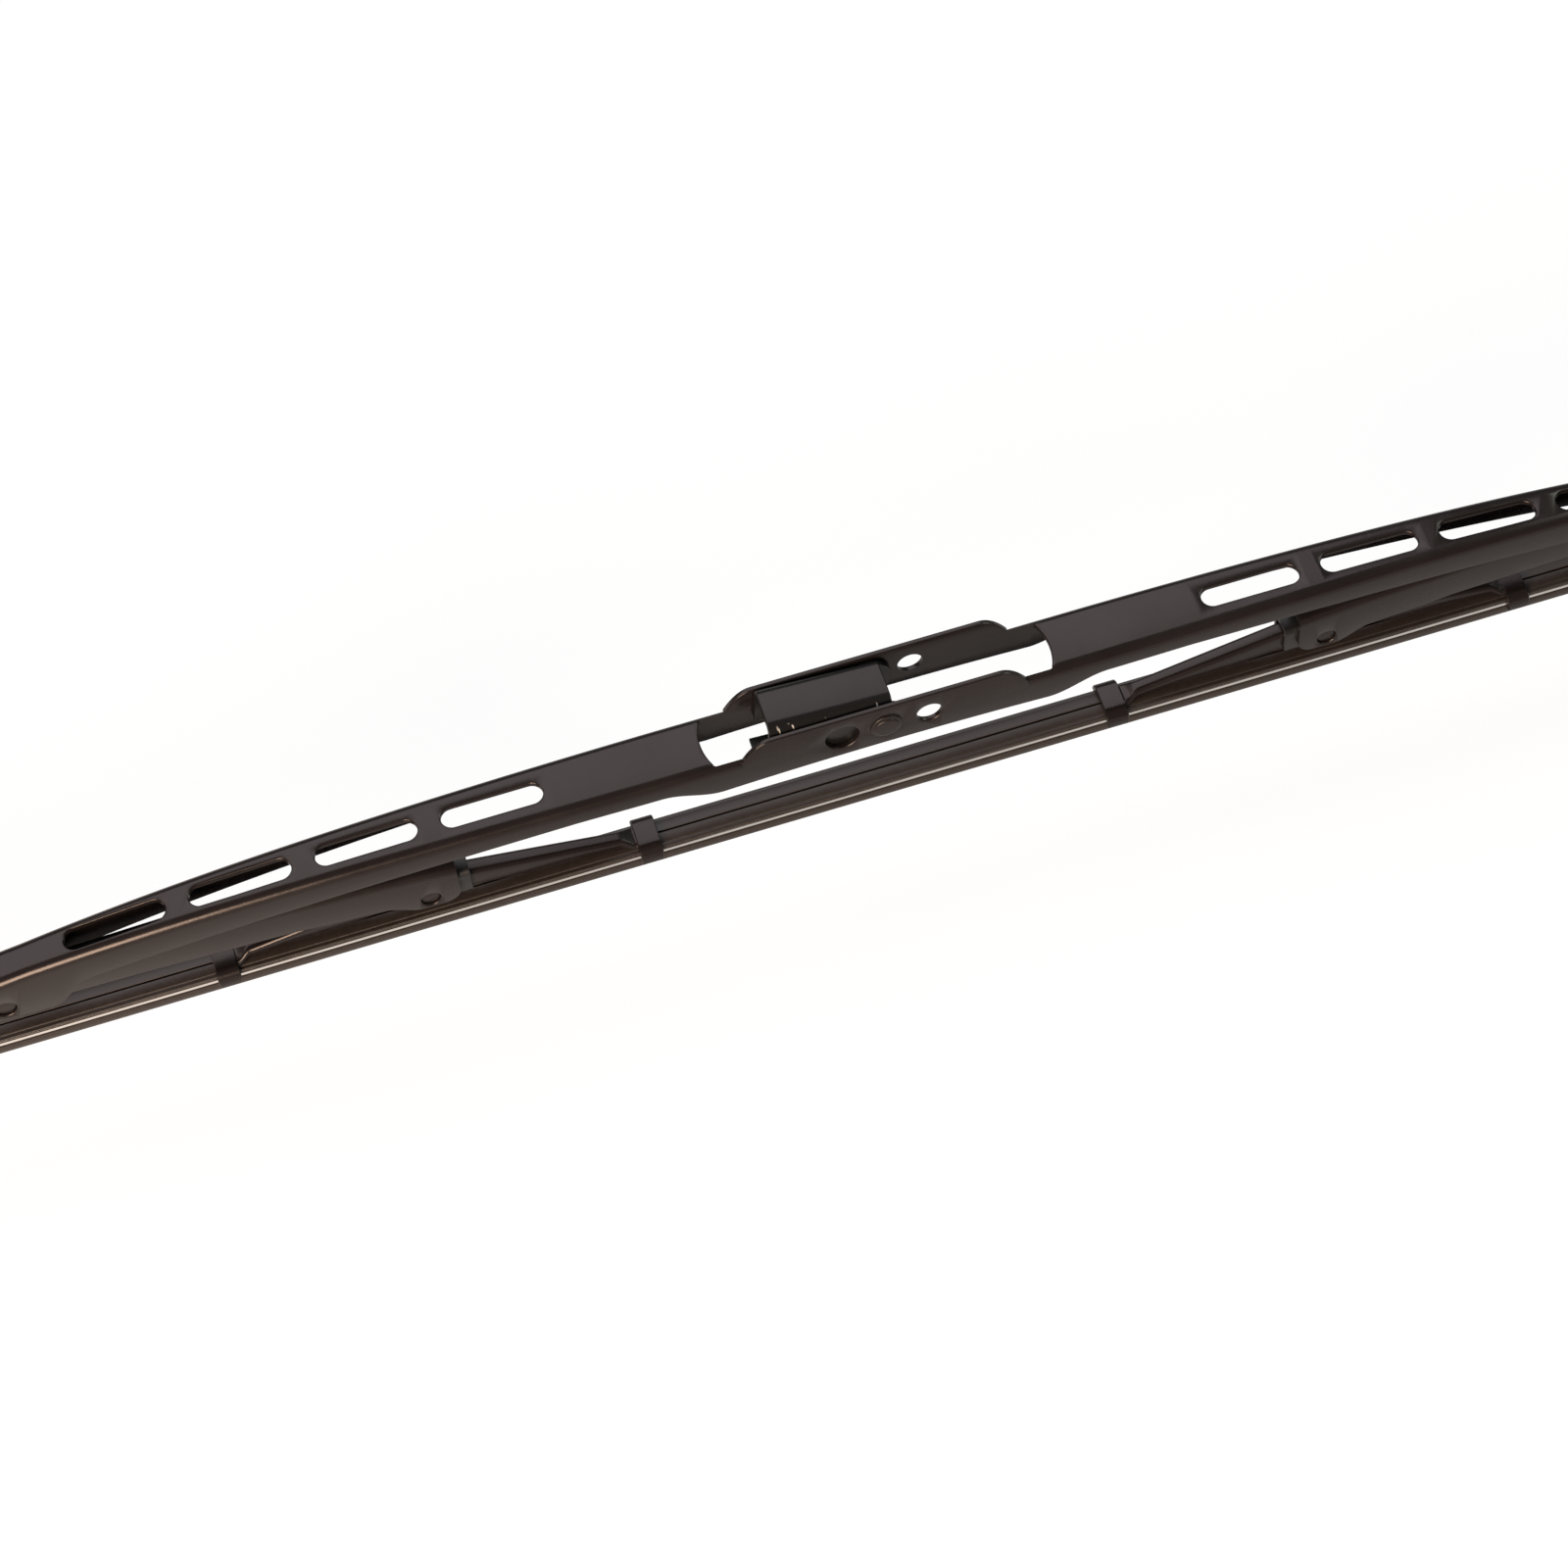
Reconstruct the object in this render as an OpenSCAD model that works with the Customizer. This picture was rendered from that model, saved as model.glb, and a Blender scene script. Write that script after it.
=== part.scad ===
// Conventional windscreen wiper blade: a pressed steel main bridge carries two
// levers, each lever carries two yokes, and the yokes' claws hold the rubber
// strip between two steel splines.
// Frame: origin on the axis of the centre rivet, +X along the blade, -Y towards
// the near side with the pin holes, +Z away from the glass. Millimetres.

/* [Blade] */
// Length of the rubber strip, tip to tip
blade_len = 600; // [540:10:660]
// Width over the main bridge's walls at its middle
bridge_w = 12.5; // [12:0.1:14]
// Height of the centre rivet above the top of the rubber strip
rivet_h = 23.3; // [23:0.1:25]

/* [Sheet steel] */
// Sheet of the main bridge and the adapter saddle
sheet = 1.0; // [0.9:0.05:1.1]
// Sheet of the levers and the yokes
lever_sheet = 0.9; // [0.7:0.05:0.9]

/* [Pin holes] */
// Radius of the large pin hole
large_hole_r = 3.175; // [2.8:0.005:3.2]
// Radius of the small pin hole
small_hole_r = 2.38; // [2.2:0.01:2.6]
// Distance of both pin holes from the centre rivet
hole_x = 8.2; // [7.8:0.1:9]

/* [Openings in the web] */
// Number of slots on each side of the window
slots = 4; // [2:1:4]
// Width of a slot
slot_w = 4.3; // [3:0.1:4.5]
// Half length of the centre window at its corners
window_x = 31.6; // [31:0.1:33]

/* [Adapter] */
// Tilt of the adapter saddle about the centre rivet, in degrees
saddle_tilt = 3.5; // [0:0.5:6]

/* [Rubber strip] */
// Width of the strip's back
strip_w = 5.4; // [5.2:0.1:6]
// Width over the two splines
spline_w = 6.9; // [6.6:0.1:7]

/* [Hidden] */
$fn = 48;

black_paint = [0.10, 0.10, 0.105];
black_plastic = [0.07, 0.07, 0.07];
bare_steel = [0.66, 0.63, 0.58];
rubber_black = [0.05, 0.05, 0.05];

// Lengths along the blade grow with it
k = blade_len / 600;
lever_x = 164 * k;          // main pivot
lever_arm = 77.7 * k;       // main pivot to either yoke pivot
short_arm = 38.8 * k;       // yoke pivot to the claw on the lever's side
long_arm = 41.1 * k;        // yoke pivot to the other claw
slot_pitch = 23.15 * k;
slot_len = 18.8 * k;
first_slot_x = 71.6 * k;
side_gap = 0.1;             // between a bush and the walls round it
bend_steps = 3;             // flats round a press bend

// Heights, all from the top of the rubber strip
strip_z = -rivet_h;
bridge_z = strip_z + 24.6;      // top of the web at the middle
crest_z = strip_z + 28.8;       // crest of the ears
centre_low_z = strip_z + 17.9;  // lower edge at the middle
cheek_low_z = strip_z + 6.8;    // lower edge round the lever pivots
lever_pivot_z = strip_z + 10.3;
yoke_pivot_z = strip_z + 5.7;
claw_top_z = strip_z + 1.2;

// Half widths over the walls
end_hw = bridge_w / 2 - 2.5;                // main bridge round a lever pivot
lever_bush_hw = end_hw - sheet - side_gap;
lever_mid_hw = lever_bush_hw - 0.45;
lever_end_hw = bridge_w / 2 - 2.55;
yoke_bush_hw = lever_end_hw - lever_sheet - side_gap;
yoke_hw = yoke_bush_hw - 0.9;
claw_hw = spline_w / 2 + 0.1 + lever_sheet;
pin_fit = 0.05;
lever_pin_r = 2.0;
yoke_pin_r = 1.75;
centre_rivet_r = 2.4;

function clamp01(t) = min(1, max(0, t));
function ease(t) = let (u = clamp01(t)) u * u * (3 - 2 * u);
// n further stations after a, up to b
function span(a, b, n) = [for (i = [1:n]) a + (b - a) * i / n];
function mirrored(half) =
    concat([for (i = [len(half) - 1:-1:1]) -half[i]], half);

// Pressed channels

// Section of a bent channel, open below: half width w, top t, lower edge b
function channel_ring(w, t, b, th, r) =
    let (ri = r - th, n = bend_steps)
    concat(
        [[-w, b]],
        [for (i = [0:n]) let (a = 180 - 90 * i / n)
            [-w + r + r * cos(a), t - r + r * sin(a)]],
        [for (i = [0:n]) let (a = 90 - 90 * i / n)
            [w - r + r * cos(a), t - r + r * sin(a)]],
        [[w, b], [w - th, b]],
        [for (i = [0:n]) let (a = 90 * i / n)
            [w - r + ri * cos(a), t - r + ri * sin(a)]],
        [for (i = [0:n]) let (a = 90 + 90 * i / n)
            [-w + r + ri * cos(a), t - r + ri * sin(a)]],
        [[-w + th, b]]);

// rings: one [x, half width, top, lower edge] for each station, x rising
module channel(rings, th, r) {
    sections = [for (s = rings) channel_ring(s[1], s[2], s[3], th, r)];
    m = len(sections[0]);
    last = len(rings) - 1;
    points = [for (i = [0:last]) for (p = sections[i])
        [rings[i][0], p[0], p[1]]];
    sides = [for (i = [0:last - 1]) for (j = [0:m - 1])
        let (a = i * m + j, b = i * m + (j + 1) % m)
        for (f = [[a, b, b + m], [a, b + m, a + m]]) f];
    caps = [for (j = [0:m / 2 - 2])
        let (q = [j, j + 1, m - 2 - j, m - 1 - j])
        for (f = [[q[3], q[2], q[1], q[0]],
                  [for (v = q) v + last * m]]) f];
    polyhedron(points, concat(sides, caps), convexity = 6);
}

// A round bore across the blade
module cross_bore(x, z, r, half_len = 20)
    translate([x, 0, z]) rotate([90, 0, 0])
        cylinder(h = 2 * half_len, r = r, center = true);

// A plain pin across the blade
module cross_pin(x, z, r, half_len)
    color(bare_steel) cross_bore(x, z, r, half_len);

// A flat plate in the XZ plane, its outer face at y
module side_plate(y, th)
    translate([0, y > 0 ? y : y + th, 0]) rotate([90, 0, 0])
        linear_extrude(height = th) children();

// Main bridge

arm_x0 = 31 * k;    // the deep middle ends
arm_x1 = 42 * k;    // and the shallow arm begins
cheek_x0 = 148.5 * k; // the arm deepens again
cheek_x1 = 156 * k; // to the cheek round the lever pivot
cheek_r = lever_pivot_z - cheek_low_z;

function bridge_top(x) =
    let (u = x / k / 100) bridge_z + 0.84 * u * u - 1.145 * pow(u, 4);
function bridge_hw(x) =
    let (u = clamp01((abs(x) - 40 * k) / (118 * k)))
    bridge_w / 2 - (bridge_w / 2 - end_hw) * pow(u, 1.5);
function arm_low(x) = bridge_top(x) - 4.5 - 0.036 * max(0, abs(x) / k - 58);
function cheek_low(x) =
    let (d = max(0, abs(x) - lever_x))
    lever_pivot_z - sqrt(max(0, cheek_r * cheek_r - d * d));
// the lower edge of the middle sags a little towards its ends
function centre_low(x) = centre_low_z - 0.8 * pow(min(1, abs(x) / arm_x0), 2);
function bridge_low(x) = abs(x) < arm_x1
    ? centre_low(x) + (arm_low(x) - centre_low(x))
        * ease((abs(x) - arm_x0) / (arm_x1 - arm_x0))
    : arm_low(x) + (cheek_low(x) - arm_low(x))
        * ease((abs(x) - cheek_x0) / (cheek_x1 - cheek_x0));

bridge_stations = mirrored(concat(
    [0], span(0, arm_x0, 3), span(arm_x0, arm_x1, 6),
    span(arm_x1, cheek_x0, 10), span(cheek_x0, cheek_x1, 6),
    span(cheek_x1, lever_x, 1),
    [for (a = [20:17.5:90]) lever_x + cheek_r * sin(a)]));

ear_x = 21.5;      // the level crest of an ear ends
ear_foot_x = 26.9; // its rounded shoulder reaches the web
function ear_top(x) = crest_z - (crest_z - bridge_z + 0.45)
    * pow(clamp01((abs(x) - ear_x) / (ear_foot_x - ear_x)), 2);

module ear_outline() {
    xs = mirrored(concat([0], span(0, ear_x, 1), span(ear_x, ear_foot_x, 8)));
    polygon(concat([for (x = xs) [x, ear_top(x)]],
        [[ear_foot_x, bridge_z - 3], [-ear_foot_x, bridge_z - 3]]));
}

// Plan of the centre window: straight sides, bulged ends
module window_plan() {
    hw = bridge_w / 2 - sheet;
    bulge = 1.3;
    r = (hw * hw + bulge * bulge) / (2 * bulge);
    a0 = asin(hw / r);
    polygon(concat(
        [for (i = [0:8]) let (a = -a0 + 2 * a0 * i / 8)
            [window_x + bulge - r + r * cos(a), r * sin(a)]],
        [for (i = [0:8]) let (a = 180 - a0 + 2 * a0 * i / 8)
            [-window_x - bulge + r + r * cos(a), r * sin(a)]]));
}

module slot(x, side) {
    half = slot_len / 2 - slot_w / 2;
    translate([side * x, 0, bridge_top(x) - 3]) {
        translate([-half, -slot_w / 2, 0]) cube([2 * half, slot_w, 6]);
        for (e = [-1, 1]) translate([e * half, 0, 0]) cylinder(h = 6, r = slot_w / 2);
    }
}

module main_bridge() color(black_paint) difference() {
    union() {
        channel([for (x = bridge_stations)
            [x, bridge_hw(x), bridge_top(x), bridge_low(x)]], sheet, 1.9);
        for (y = [-1, 1]) side_plate(y * bridge_w / 2, sheet) ear_outline();
    }
    translate([0, 0, bridge_z - 2.5]) linear_extrude(height = 6) window_plan();
    for (side = [-1, 1], i = [0:slots - 1]) slot(first_slot_x + i * slot_pitch, side);
    cross_bore(-hole_x, 0, large_hole_r);
    cross_bore(hole_x, 0, small_hole_r);
    cross_bore(0, 0, centre_rivet_r + pin_fit);
    for (side = [-1, 1]) cross_bore(side * lever_x, lever_pivot_z, lever_pin_r + pin_fit);
}

// Shank with a low domed head against each wall
module centre_rivet() color(bare_steel) {
    head_h = 0.7;
    rotate([90, 0, 0]) rotate_extrude() polygon(concat(
        [[0, -bridge_w / 2 - head_h]],
        [for (a = [20:35:90]) [3 * sin(a), -bridge_w / 2 - 0.02 - (head_h - 0.02) * cos(a)]],
        [[centre_rivet_r, -bridge_w / 2 - 0.02], [centre_rivet_r, bridge_w / 2 + 0.02]],
        [for (a = [90:-35:20]) [3 * sin(a), bridge_w / 2 + 0.02 + (head_h - 0.02) * cos(a)]],
        [[0, bridge_w / 2 + head_h]]));
}

// Adapter

saddle_x0 = -21.5;
saddle_x1 = 1.5;
saddle_top = bridge_z + 4.3;
saddle_low = -4.4;
saddle_hw = bridge_w / 2 - sheet - 0.15;
saddle_bend = 2.2;

module saddle_frame() rotate([0, saddle_tilt, 0]) children();

module adapter_saddle() color(black_paint) saddle_frame() difference() {
    union() {
        channel([for (x = [saddle_x0, saddle_x1])
            [x, saddle_hw, saddle_top, saddle_low]], sheet, saddle_bend);
        for (y = [-1, 1]) side_plate(y * saddle_hw, sheet) circle(r = -saddle_low);
    }
    cross_bore(0, 0, centre_rivet_r + pin_fit);
}

// Lock spring: a leaf under the flat of the saddle's roof whose end hooks down
// past the lower edge of the walls, with a release tab to the left
module adapter_spring() color(black_plastic) saddle_frame() {
    w = 2 * (saddle_hw - saddle_bend - 0.1);
    t = 0.6;
    roof = saddle_top - sheet - 0.05;
    drop_x = saddle_x0 + 2.4;
    foot_z = saddle_low - 3.3;
    tab_z = saddle_low - 1.3;
    leaf_end = saddle_x1 - 5.6;
    rotate([90, 0, 0]) linear_extrude(height = w, center = true) {
        translate([drop_x, roof - t]) square([leaf_end - drop_x, t]);
        translate([drop_x, foot_z + 0.6]) square([t, roof - foot_z - 0.6]);
        translate([drop_x + 1.1, foot_z + 1.1]) circle(r = 1.1);
    }
    translate([drop_x - 4.3, -w / 4, tab_z]) cube([4.6, w / 2, 0.8]);
}

// Levers

// s is the distance from the lever's own pivot
lever_half = lever_arm + 5.6;
function lever_top(s) =
    strip_z + 16.0 - 2.7 * pow(abs(s) / (80 * k), 4);
function lever_hw(s) =
    lever_mid_hw + (lever_end_hw - lever_mid_hw) * clamp01((abs(s) - 8) / (58 * k - 8));
function lever_low(s) =
    let (a = abs(s) / k, corner = max(0, abs(s) - lever_half + 3))
    strip_z + 7.2 + 2.6 * ease((a - 8) / 6) - 2.2 * ease((a - 13) / 18)
        - 1.5 * clamp01((a - 53) / 16) - 2.9 * ease((a - 69) / 7)
        + 3 - sqrt(9 - corner * corner);

lever_stations = mirrored(concat(
    [0], span(0, 8, 1), span(8, 14 * k, 2), span(14 * k, 31 * k, 3),
    span(31 * k, 53 * k, 1), span(53 * k, 69 * k, 2), span(69 * k, 76 * k, 4),
    span(76 * k, lever_half - 3, 1),
    [for (a = [30:20:90]) lever_half - 3 + 3 * sin(a)]));

module lever() color(black_paint) difference() {
    channel([for (s = lever_stations)
        [s, lever_hw(s), lever_top(s), lever_low(s)]], lever_sheet, 1.5);
    cross_bore(0, lever_pivot_z, lever_pin_r + pin_fit + 0.01);
    for (e = [-1, 1]) cross_bore(e * lever_arm, yoke_pivot_z, yoke_pin_r + pin_fit);
}

// Moulded liner over the lever, inside the main bridge's cheeks
module lever_bush() color(black_plastic) difference() {
    channel([for (s = [-6, 6]) [s, lever_bush_hw, strip_z + 16.5, strip_z + 7.6]],
        lever_bush_hw - lever_mid_hw - pin_fit, 1.3);
    cross_bore(0, lever_pivot_z, lever_pin_r + pin_fit + 0.01);
}

// Yokes

// s is the distance from the yoke's own pivot along an arm of length arm
crown_half = 2.15; // half width of a claw's crown along the blade
hook_half = 1.85;  // and of its hooks
yoke_bend = lever_sheet + 0.06;
root_hw = claw_hw - 2.0;   // an arm is this wide where it runs into its claw
root_z = claw_top_z - 0.1;  // and this high, just under the claw's skin
function yoke_top(s, arm) =
    let (u = abs(s) / arm, line = strip_z + 9.05 - 7.48 * sqrt(u * u + 0.0053))
    line + (root_z - line) * ease((u - 0.88) / 0.07);
function yoke_low(s, arm) =
    let (u = abs(s) / arm)
    strip_z + 3.2 - 1.3 * ease((u - 0.15) / 0.3) - 1.82 * ease((u - 0.64) / 0.27);
function yoke_half_w(s, arm) =
    let (u = abs(s) / arm, slim = yoke_hw - 0.35 * clamp01(u / 0.85))
    slim + (root_hw - slim) * ease((u - 0.87) / 0.08);

function arm_stations(arm) = concat(
    span(0, 0.15 * arm, 2), span(0.15 * arm, 0.45 * arm, 3), span(0.45 * arm, 0.64 * arm, 1),
    span(0.64 * arm, 0.85 * arm, 3), span(0.85 * arm, 0.96 * arm, 6));

// Section across the strip: crown, both sides bent down, lips under the splines
module claw_section() {
    t = lever_sheet;
    r = 2.3;
    lip = spline_z - spline_t - 0.05;
    side = concat(
        [for (a = [90:-15:0])
            [claw_hw - r + r * cos(a), claw_top_z - r + r * sin(a)]],
        [[claw_hw, lip - t], [2.25, lip - t], [2.25, lip], [claw_hw - t, lip]],
        [for (a = [0:18:90])
            [claw_hw - r + (r - t) * cos(a), claw_top_z - r + (r - t) * sin(a)]]);
    polygon(concat(side, [for (i = [len(side) - 1:-1:0]) [-side[i][0], side[i][1]]]));
}

// The crown is wider along the blade than the two hooks
module claw() difference() {
    along_blade(2 * crown_half) claw_section();
    for (e = [-1, 1])
        translate([e * (hook_half + 5), 0, claw_top_z - 2.2 - 5])
            cube([10, 2 * claw_hw + 2, 10], center = true);
}

module yoke() color(black_paint) difference() {
    union() {
        channel(concat(
            [for (i = [len(arm_stations(short_arm)) - 1:-1:0])
                let (s = arm_stations(short_arm)[i])
                [-s, yoke_half_w(s, short_arm), yoke_top(s, short_arm), yoke_low(s, short_arm)]],
            [[0, yoke_hw, yoke_top(0, long_arm), yoke_low(0, long_arm)]],
            [for (s = arm_stations(long_arm))
                [s, yoke_half_w(s, long_arm), yoke_top(s, long_arm), yoke_low(s, long_arm)]]),
            lever_sheet, yoke_bend);
        translate([-short_arm, 0, 0]) claw();
        translate([long_arm, 0, 0]) claw();
    }
    cross_bore(0, yoke_pivot_z, yoke_pin_r + pin_fit + 0.01);
}

// Moulded liner over the yoke, sticking out past the lever's end
module yoke_bush() color(black_plastic) difference() {
    channel([for (s = [-6, 8]) [s, yoke_bush_hw, strip_z + 9.6, strip_z + 3.6]],
        yoke_bush_hw - yoke_hw - pin_fit, 1.3);
    cross_bore(0, yoke_pivot_z, yoke_pin_r + pin_fit + 0.01);
}

// Rubber strip and splines

spline_z = strip_z - 0.8;   // top of a spline
spline_t = 0.75;
neck_w = 1.9;               // rubber left between the splines
flange_hw = strip_w / 2 + 0.2;

module along_blade(length) rotate([90, 0, 90])
    linear_extrude(height = length, center = true) children();

// Half section, from the slit in the back down to the wiping lip
strip_profile = [
    [0.2, -1.0], [0.2, 0], [strip_w / 2 - 0.35, 0], [strip_w / 2, -0.3],
    [strip_w / 2, -0.75], [neck_w / 2, -0.75], [neck_w / 2, -1.6],
    [1.8, -1.6], [1.8, -1.95], [1.1, -2.3], [1.1, -2.9],
    [2.5, -3.1], [flange_hw, -3.5], [flange_hw, -4.7],
    [2.5, -5.3], [1.0, -5.4], [0.45, -6.0], [0.45, -7.6], [0.9, -8.2], [0.35, -9.0]
];

module rubber_strip() color(rubber_black) along_blade(blade_len)
    translate([0, strip_z]) polygon(concat(strip_profile,
        [for (i = [len(strip_profile) - 1:-1:0]) [-strip_profile[i][0], strip_profile[i][1]]]));

module spline(side) color(bare_steel) along_blade(blade_len - 6)
    translate([side * (spline_w / 2 + neck_w / 2 + 0.05) / 2, spline_z - spline_t / 2])
        square([(spline_w - neck_w) / 2 - 0.05, spline_t], center = true);

// Where the repeated pieces stand

// Puts a piece drawn at its own pivot on the left or right lever
module on_lever(side) translate([side * lever_x, 0, 0]) children();
// Inner and outer yokes; the long arm always points away from the lever's pivot
module on_yoke(side, place)
    translate([side * (lever_x + place * lever_arm), 0, 0])
        mirror([side * place > 0 ? 0 : 1, 0, 0]) children();

sides = [["left", -1], ["right", 1]];
places = [["inner", -1], ["outer", 1]];

main_bridge();
adapter_saddle();
adapter_spring();
centre_rivet();
for (s = sides) {
    on_lever(s[1]) lever();
    on_lever(s[1]) lever_bush();
    cross_pin(s[1] * lever_x, lever_pivot_z, lever_pin_r, end_hw - 0.45);
    for (p = places) {
        on_yoke(s[1], p[1]) yoke();
        on_yoke(s[1], p[1]) yoke_bush();
        cross_pin(s[1] * (lever_x + p[1] * lever_arm), yoke_pivot_z,
                yoke_pin_r, lever_end_hw - 0.45);
    }
}
rubber_strip();
spline(-1);  // near_spline
spline(1);  // far_spline
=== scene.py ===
# %% [markdown]
# # A bow-frame wiper blade
# A pressed steel bridge carries two levers, each lever carries two yokes, and
# the yokes' claws hold a rubber strip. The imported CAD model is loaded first: it
# is the frame that every piece here is built in, in metres, with the origin on
# the centre rivet, +X along the blade and +Z away from the glass.

# %% Load the frame
import math

import bmesh
import bpy
from mathutils import Matrix, Vector


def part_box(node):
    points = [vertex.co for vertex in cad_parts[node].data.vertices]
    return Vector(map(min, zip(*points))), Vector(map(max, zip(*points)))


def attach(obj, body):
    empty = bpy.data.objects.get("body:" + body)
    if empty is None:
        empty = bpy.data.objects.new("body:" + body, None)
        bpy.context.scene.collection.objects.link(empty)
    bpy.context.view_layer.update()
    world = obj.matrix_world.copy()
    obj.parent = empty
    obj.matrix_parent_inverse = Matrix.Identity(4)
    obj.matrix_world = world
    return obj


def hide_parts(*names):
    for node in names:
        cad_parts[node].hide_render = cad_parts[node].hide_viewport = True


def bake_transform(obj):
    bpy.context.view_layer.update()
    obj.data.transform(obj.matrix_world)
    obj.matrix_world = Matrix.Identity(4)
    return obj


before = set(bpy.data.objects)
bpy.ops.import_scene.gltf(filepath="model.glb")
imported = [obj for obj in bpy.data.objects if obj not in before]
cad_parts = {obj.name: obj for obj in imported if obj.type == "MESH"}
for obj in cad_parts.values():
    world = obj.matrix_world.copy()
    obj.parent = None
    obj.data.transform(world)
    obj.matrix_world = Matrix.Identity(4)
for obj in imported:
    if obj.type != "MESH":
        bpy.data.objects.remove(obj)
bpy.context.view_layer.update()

# %% [markdown]
# ## Camera
# The place of the camera was worked out from the slots, claws and pivots of the
# photograph: above the near side, a little to the left, tilted by 6 degrees.
# Blender's camera looks along its own -Z, so its matrix is made of the picture's
# right, up and backward directions.

# %% Camera
MM = 0.001
CAMERA_PLACE = Vector((-93.87, -358.31, 557.76)) * MM
CAMERA_TARGET = Vector((-19.7, -5.86, -10.0)) * MM
CAMERA_ROLL = math.radians(6.21)
FOCAL_LENGTH = 85.4  # millimetres on a 36 mm sensor


def aim_camera(place, target, roll, lens):
    data = bpy.data.cameras.new("camera")
    data.lens = lens
    data.sensor_width = 36.0
    camera = bpy.data.objects.new("camera", data)
    bpy.context.collection.objects.link(camera)
    look = (target - place).to_track_quat("-Z", "Y").to_matrix().to_4x4()
    camera.matrix_world = Matrix.Translation(place) @ look @ Matrix.Rotation(-roll, 4, "Z")
    bpy.context.scene.camera = camera
    return camera


camera = aim_camera(CAMERA_PLACE, CAMERA_TARGET, CAMERA_ROLL, FOCAL_LENGTH)
print("camera at", tuple(round(v, 4) for v in camera.matrix_world.translation))

# %% [markdown]
# ## Helpers for materials
# A colour is written as the hex number that a screen shows, and one function
# turns it into the linear values that the shader works with. `add_node` adds a
# node, sets its inputs and returns it, and the short functions after it add the
# nodes that several materials need, so that a material reads as a list of what
# it is made of.


# %% Colour and node helpers
def colour(hex_code):
    channels = [int(hex_code[i:i + 2], 16) / 255 for i in (1, 3, 5)]
    linear = [c / 12.92 if c <= 0.04045 else ((c + 0.055) / 1.055) ** 2.4 for c in channels]
    return (*linear, 1.0)


def add_node(tree, kind, inputs=None, **settings):
    node = tree.nodes.new(kind)
    for name, value in settings.items():
        setattr(node, name, value)
    for name, value in (inputs or {}).items():
        # some sockets share one name, so an identifier works as well as a name
        socket = next(s for s in node.inputs if name in (s.identifier, s.name))
        if isinstance(value, bpy.types.NodeSocket):
            tree.links.new(value, socket)
        else:
            socket.default_value = value
    return node


def new_material(name):
    material = bpy.data.materials.new(name)
    material.use_nodes = True
    tree = material.node_tree
    tree.nodes.clear()
    shader = add_node(tree, "ShaderNodeBsdfPrincipled")
    output = add_node(tree, "ShaderNodeOutputMaterial")
    tree.links.new(shader.outputs["BSDF"], output.inputs["Surface"])
    coordinates = add_node(tree, "ShaderNodeTexCoord")
    return material, tree, shader, coordinates.outputs["Object"]


def set_shader(shader, **values):
    for name, value in values.items():
        shader.inputs[name.replace("_", " ").title().replace("Ior", "IOR")].default_value = value


def mix_colours(tree, factor, a, b):
    """The colour between a and b, each a hex number or a socket."""
    a, b = (colour(given) if isinstance(given, str) else given for given in (a, b))
    mixed = add_node(tree, "ShaderNodeMix", {"Factor_Float": factor, "A_Color": a, "B_Color": b},
                     data_type="RGBA")
    return mixed.outputs[2]


def rescale(tree, value, start, stop, low=0.0, high=1.0):
    """What lies between start and stop, brought between low and high."""
    ranged = add_node(tree, "ShaderNodeMapRange",
                      {"Value": value, "From Min": start, "From Max": stop,
                       "To Min": low, "To Max": high})
    return ranged.outputs["Result"]


def calculate(tree, operation, a, b):
    return add_node(tree, "ShaderNodeMath", {"Value": a, "Value_001": b},
                    operation=operation).outputs["Value"]


print("white is", colour("#ffffff"))

# %% [markdown]
# ## Black enamel on the pressed steel
# The bridge, levers, yokes, saddle and the heads of the pins are mild steel,
# pressed and then dipped in a stoved black enamel. It is nearly black under a
# satin skin, so all that the eye gets are soft reflections: a plain dielectric
# with a little less shine than glass. The dip thins and pools over about two
# centimetres, and its orange peel is 0.7 mm across. Both come from noise in
# object space, because a pressed part needs no UV map.


# %% Stoved enamel
PEEL = 0.7  # mm across
PLAIN_IOR = 1.5  # of paint, rubber and plastic


def noise(tree, place, cell, detail, roughness=0.5):
    """Noise whose cells are that many millimetres across."""
    return add_node(tree, "ShaderNodeTexNoise",
                    {"Vector": place, "Scale": 1 / (cell * MM), "Detail": detail,
                     "Roughness": roughness}).outputs["Fac"]


def add_bump(tree, shader, height, strength):
    bump = add_node(tree, "ShaderNodeBump",
                    {"Height": height, "Strength": strength, "Distance": 0.1 * MM})
    tree.links.new(bump.outputs["Normal"], shader.inputs["Normal"])


def stoved_enamel(name, deep, thin, roughness, scuffed=False):
    material, tree, shader, place = new_material(name)
    set_shader(shader, ior=PLAIN_IOR, specular_ior_level=0.34, specular_tint=colour("#fff2ee"))
    pools = noise(tree, place, 18, 4.0, 0.6)
    gloss = rescale(tree, pools, 0.3, 0.7, roughness - 0.05, roughness + 0.05)
    tree.links.new(gloss, shader.inputs["Roughness"])
    add_bump(tree, shader, noise(tree, place, PEEL, 2.0), 0.10)
    paint = mix_colours(tree, pools, deep, thin)
    if scuffed:
        paint = add_scuffs(tree, place, paint)
    tree.links.new(paint, shader.inputs["Base Color"])
    return material


# %% [markdown]
# The hook of the wiper arm scrapes over the saddle's near bend, and leaves short
# pale nicks there, about a millimetre long. They are the peaks of a noise that is
# squeezed along one slanting direction, kept only in a band along that bend.


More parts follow.
